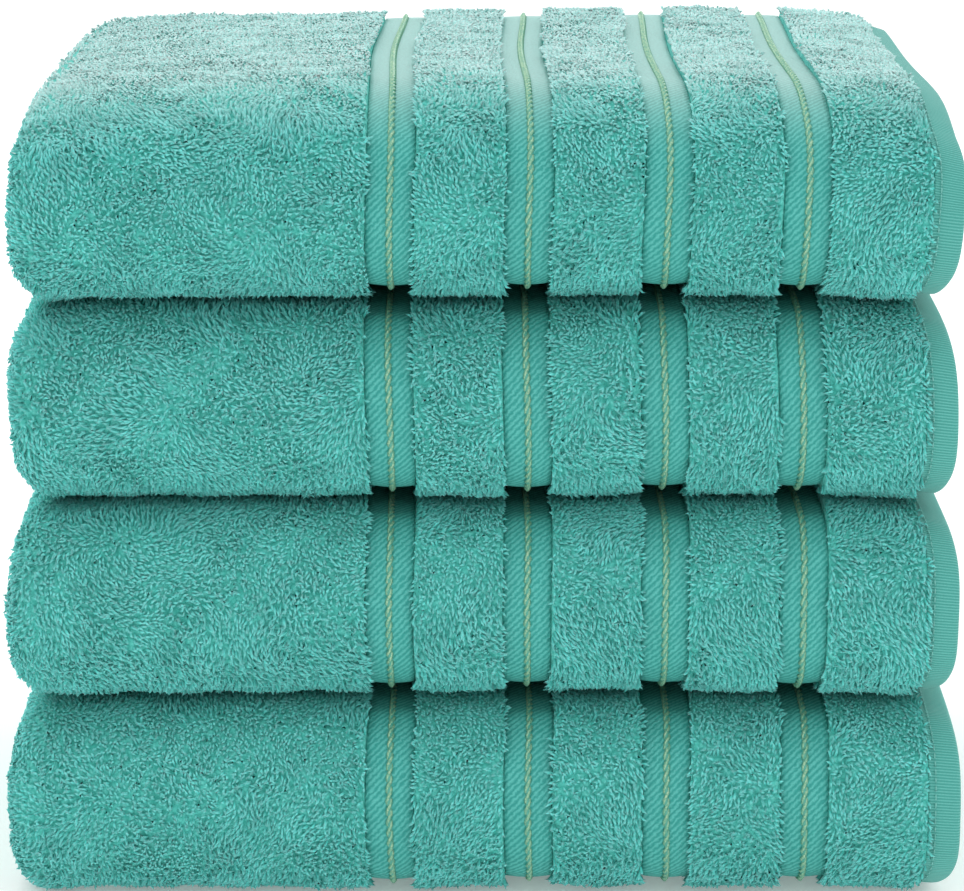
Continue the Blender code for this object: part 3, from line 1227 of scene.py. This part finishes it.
# %% Lean and share of the loops
UNDERSIDE_SHARE = 0.1
COVERED_TOP_SHARE = 0.14
BACK_SHARE = 0.45
LEFT_FOLD_SHARE = 0.3
ROOT_OUT = PILE_GROUND - 0.35
DISORDER = 0.5
GRAVITY = 0.5
LEAN_LIMITS = (0.55, 1.25)
HANGING_SWIRL_LOST = 0.7
HANGING_DISORDER_LOST = 0.5
HANGING_GRAVITY = 0.8
PRESSED_LEAN = 0.4
swirl_rng = np.random.default_rng(7)
SWIRL_WAVES = swirl_rng.normal(0, 1, (10, 3)) / swirl_rng.uniform(5, 16, 10)[:, None]
SWIRL_PHASE = swirl_rng.uniform(0, 2 * math.pi, 10)
SWIRL_REACH = 0.7
SWIRL_PUSH = unit(swirl_rng.normal(0, 1, (10, 3)))


def swirl(points):
    """A slow vector field: the sum of ten pushes, each times the sine of a wave in space."""
    return np.sin(points @ SWIRL_WAVES.T + SWIRL_PHASE) @ SWIRL_PUSH * SWIRL_REACH


def shown_share(k, t):
    """The share of the loops that is made at t: all on free sides, fewer where towels touch."""
    inside = t < TUCKED - 30
    bottom = (t > BACK_END) & (t < BOTTOM_END)
    covered = (t > FRONT_END + 4) & (k < TOWELS - 1)
    back = t < BACK_END
    kinds = [inside, back, bottom, covered]
    return np.select(kinds, [0.0, BACK_SHARE, UNDERSIDE_SHARE, COVERED_TOP_SHARE], 1.0)


def end_share(t):
    """All loops on the front of the left fold, and under a third of them on the rest of it."""
    return np.where((t > BOTTOM_END) & (t < FRONT_END + 30), 1.0, LEFT_FOLD_SHARE)


def combed(t):
    """1 where the loops hang down over the towel below, low on the front fold, and 0 elsewhere."""
    return smooth(t, BOTTOM_END - 2, BOTTOM_END + 6) * (1 - smooth(t, BOTTOM_END + 16, BOTTOM_END + 52))


def pressed_flat(t):
    """1 where another towel or the floor presses the pile, and 0 where it stands or hangs free."""
    return contact(t) * (1 - combed(t))


def lean_of(rng, k, s, t, root, outward, push):
    """Which way and how far each loop leans, along the cloth.

    Swirl, disorder and gravity add up, and where the loops hang down there is more gravity and
    less of the others. Push moves a loop's lean towards larger s. What points off the cloth is
    taken away, and the length is kept between its limits.
    """
    hanging = combed(t)
    pressed = pressed_flat(t)
    lean = swirl(root) * (1 - HANGING_SWIRL_LOST * hanging)[:, None]
    lean += rng.normal(0, DISORDER, (len(s), 3)) * (1 - HANGING_DISORDER_LOST * hanging)[:, None]
    lean[:, 2] -= (GRAVITY + HANGING_GRAVITY * hanging) * (1 - pressed)
    left = unit(on_towel(k, s + 0.5, t, ROOT_OUT) - root)
    lean += left * push[:, None]
    lean -= outward * np.einsum("ij,ij->i", lean, outward)[:, None]
    size = np.linalg.norm(lean, axis=1, keepdims=True)
    kept_size = np.clip(size, *LEAN_LIMITS) / np.maximum(size, 1e-6)
    return lean * (kept_size * (1 + PRESSED_LEAN * pressed)[:, None])


print("share of the loops at the back", BACK_SHARE, "and on the underside", UNDERSIDE_SHARE)

# %% Grow the pile
LOOPS_A_CM2 = 43.0
LOOP_LENGTH = 3.8
LOOP_WIDTH = 0.54
ROUNDNESS = 0.45
TUFT_FINER = 2.2
TUFT_REACH = 0.16
JITTER = 0.42
BARE_RIM = 2.5
FRINGE_MM = 3.0
LEAN_AT_ROOT = 0.7
OUT_AT_TIP = 0.15
CURL = 0.28
PRESSED_SHORTER = 0.32
FLOOR_GAP = 0.05


def grow(k, name, s_low, s_high, seed, density=LOOPS_A_CM2, share=None, fringe=(0, 0)):
    """The loops between two places along the cloth, as one piece.

    Roots stand on a jittered grid. A loop's first direction is outwards plus part of its lean, and
    its second is mostly lean, with a curl of its own. Its length follows a finer swirl, which
    makes tufts. Share gives the part of the loops that is made at t, and fringe gives how far the
    loops at the low and high edge in s fall out.
    """
    rng = np.random.default_rng(1000 * (k + 1) + seed)
    step = 10 / math.sqrt(density)
    long_way = PATH - 2 * BARE_RIM
    rows = max(int(round((s_high - s_low) / step)), 1)
    columns = int(round(long_way / step))
    i, j = np.meshgrid(np.arange(rows), np.arange(columns), indexing="ij")
    i, j = i.ravel(), j.ravel()
    jitter = rng.uniform(-JITTER, JITTER, (2, len(i)))
    s = s_low + (i + 0.5 + jitter[0]) * (s_high - s_low) / rows
    t = BARE_RIM + (j + 0.5 + jitter[1] + 0.5 * (i % 2)) * long_way / (columns + 0.5)
    kept = rng.random(len(i)) < (shown_share(k, t) if share is None else share(t))
    s, t = s[kept], t[kept]
    count = len(s)
    root = on_towel(k, s, t, ROOT_OUT)
    outward = unit(on_towel(k, s, t, ROOT_OUT + 1.0) - root)
    low_edge = np.clip(1 - (s - s_low) / FRINGE_MM, 0, 1) * fringe[0]
    high_edge = np.clip(1 - (s_high - s) / FRINGE_MM, 0, 1) * fringe[1]
    lean = lean_of(rng, k, s, t, root, outward, high_edge - low_edge)
    first = unit(outward + LEAN_AT_ROOT * lean)
    second = unit(OUT_AT_TIP * outward + lean + rng.normal(0, CURL, (count, 3)))
    tuft = np.clip(swirl(TUFT_FINER * root)[:, 0], -1.2, 1.2)
    length = LOOP_LENGTH * rng.uniform(0.82, 1.12, count) * (1 - PRESSED_SHORTER * pressed_flat(t))
    length *= 1 + TUFT_REACH * tuft
    width = LOOP_WIDTH * rng.uniform(0.85, 1.15, count)
    points, faces, heights, rounds = buds(root, first, second, length, width, rng.uniform(0, 6.3, count))
    normals = unit(outward[:, None] + ROUNDNESS * rounds)
    points[:, 2] = np.maximum(points[:, 2], FLOOR_GAP)
    body = f"towel_{k + 1}"
    return make_piece(
        f"{body}_{name}",
        points,
        join_triangles(faces),
        pile_finish,
        body,
        marks={
            "pile_height": heights,
            "yarn_tone": np.repeat(rng.random(count), BUD_POINTS),
            # Painted sheen: a pale tone on the top towel's upward-facing loops, a little more at the tips.
            "painted_top_sheen": np.repeat(painted_sheen_at(k, s, t, ROOT_OUT), BUD_POINTS) * (0.8 + 0.2 * heights),
        },
        normals=normals,
    )


print("loops a square centimetre", LOOPS_A_CM2)

# %% Cover the towels
EDGE_CLEAR = 0.4
OVER_HEM = 1.0
FALL = 0.8
LEFT_FOLD_LOOPS = 36.0
INNER_FOLD_LOOPS = 12.0


def make_pile(k):
    """The pile of one towel: the plain field, the left fold, four stripes and the inner fold."""
    body = f"towel_{k + 1}"
    field_start = RIGHT - BAND_EDGES[0][0] + EDGE_CLEAR
    field = grow(k, "field_pile", field_start, STARTS[1], 1, fringe=(FALL, 0))
    fold = grow(k, "left_fold_pile", STARTS[1], STARTS[2] + 8, 2, LEFT_FOLD_LOOPS, end_share)
    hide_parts(f"{body}_terry_field")
    stripes = []
    for i in range(BANDS):
        x_high = BAND_EDGES[i + 1][0] if i < BANDS - 1 else HEM_X + OVER_HEM
        s_low = RIGHT - x_high + EDGE_CLEAR
        s_high = RIGHT - BAND_EDGES[i][1] - EDGE_CLEAR
        stripe = grow(k, f"stripe_pile_{i + 1}", s_low, s_high, 10 + i, fringe=(FALL, FALL))
        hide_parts(f"{body}_pile_stripe_{i + 1}")
        stripes.append(stripe)
    inner_ends = (STARTS[3] - 4, STARTS[4] + 4)
    inner = grow(k, "inner_fold_pile", *inner_ends, 3, INNER_FOLD_LOOPS, np.ones_like)
    return [field, fold, *stripes, inner]


piles = [make_pile(k) for k in range(TOWELS)]
print("pile triangles by piece", {n: c for n, c in triangle_counts.items() if "pile" in n and "_1_" in n})
print("all triangles", sum(triangle_counts.values()))

# %% [markdown]

# %% [markdown]
# ## Studio
#
# The stack stands on a matt pale floor in a bright room. Most light comes evenly from the pale air
# all round, a little more from high up. A wide soft light overhead makes the top face pale, and a
# low one behind edges it. The camera stands in front, a little above the stack.

# %% Floor
FLOOR_SIZE = 8000.0
floor_finish, tree, shader = new_finish("matt_pale_studio_floor")
place = add(tree, "ShaderNodeTexCoord")
mottle = add(tree, "ShaderNodeTexNoise", {"Vector": place.outputs["Object"], "Scale": 3.0})
shade = add(tree, "ShaderNodeValToRGB", {"Fac": mottle.outputs["Fac"]})
ramp(shade, (0.3, "#F1F1F0"), (0.7, "#F6F6F5"))
tree.links.new(shade.outputs["Color"], shader.inputs["Base Color"])
shader.inputs["Roughness"].default_value = 0.9
shader.inputs["Emission Color"].default_value = linear("#FFFFFF")
shader.inputs["Emission Strength"].default_value = 0.2
floor_mesh = bpy.data.meshes.new("studio_floor")
half = FLOOR_SIZE / 2 * MM
floor_mesh.from_pydata(
    [(-half, -half, 0), (half, -half, 0), (half, half, 0), (-half, half, 0)], [], [(0, 1, 2, 3)]
)
floor_mesh.materials.append(floor_finish)
floor = bpy.data.objects.new("studio_floor", floor_mesh)
bpy.context.scene.collection.objects.link(floor)
print("floor", FLOOR_SIZE * MM, "m wide")

# %% Soft lights


def soft_light(name, place_mm, aim_mm, size_mm, power, tall_mm=None):
    """An area light that looks from one point to another: its two turns are that line's angles."""
    data = bpy.data.lights.new(name, "AREA")
    data.shape = "RECTANGLE"
    data.size = size_mm * MM
    data.size_y = (tall_mm or size_mm) * MM
    data.energy = power
    made = bpy.data.objects.new(name, data)
    bpy.context.scene.collection.objects.link(made)
    made.location = np.array(place_mm) * MM
    ahead = np.array(aim_mm, float) - np.array(place_mm, float)
    made.rotation_euler = (
        math.atan2(math.hypot(ahead[0], ahead[1]), -ahead[2]),
        0.0,
        math.atan2(-ahead[0], ahead[1]),
    )


soft_light("overhead_softbox", (-200, 250, 1500), (0, 0, 150), size_mm=1300, power=1.2)
soft_light("back_softbox", (0, 1600, 640), (0, 0, 250), size_mm=1600, power=6, tall_mm=600)
print("lights", [light.name for light in bpy.data.lights])

# %% Pale air
LOW_SKY = 1.0
HIGH_SKY = 1.17
world = bpy.data.worlds.new("studio_air")
world.use_nodes = True
tree = world.node_tree
ray = add(tree, "ShaderNodeTexCoord")
parts = add(tree, "ShaderNodeSeparateXYZ", {"Vector": ray.outputs["Generated"]})
climb = add(tree, "ShaderNodeMath", {0: parts.outputs["Z"], 1: 0.0}, operation="MAXIMUM")
climb = add(tree, "ShaderNodeMath", {0: climb.outputs[0], 1: 2.0}, operation="POWER")
glow = add(
    tree,
    "ShaderNodeMapRange",
    {"Value": climb.outputs[0], "To Min": LOW_SKY, "To Max": HIGH_SKY},
)
tree.links.new(glow.outputs["Result"], tree.nodes["Background"].inputs["Strength"])
tree.nodes["Background"].inputs["Color"].default_value = linear("#FFFFFF")
bpy.context.scene.world = world
bpy.context.scene.view_settings.view_transform = "Standard"
print("sky strength", LOW_SKY, "at the horizon and", HIGH_SKY, "overhead")

# %% Camera
CAMERA_AT = (0.3, -1231.5, 475.4)
CAMERA_TILT = 15.0
LENS_MM = 121.8
lens = bpy.data.cameras.new("studio_camera")
lens.sensor_width = 36.0
lens.lens = LENS_MM
camera = bpy.data.objects.new("studio_camera", lens)
bpy.context.scene.collection.objects.link(camera)
camera.location = [v * MM for v in CAMERA_AT]
camera.rotation_euler = (math.radians(90 - CAMERA_TILT), 0.0, 0.0)
bpy.context.scene.camera = camera
print("camera at", CAMERA_AT, "mm, tilted down", CAMERA_TILT, "degrees")
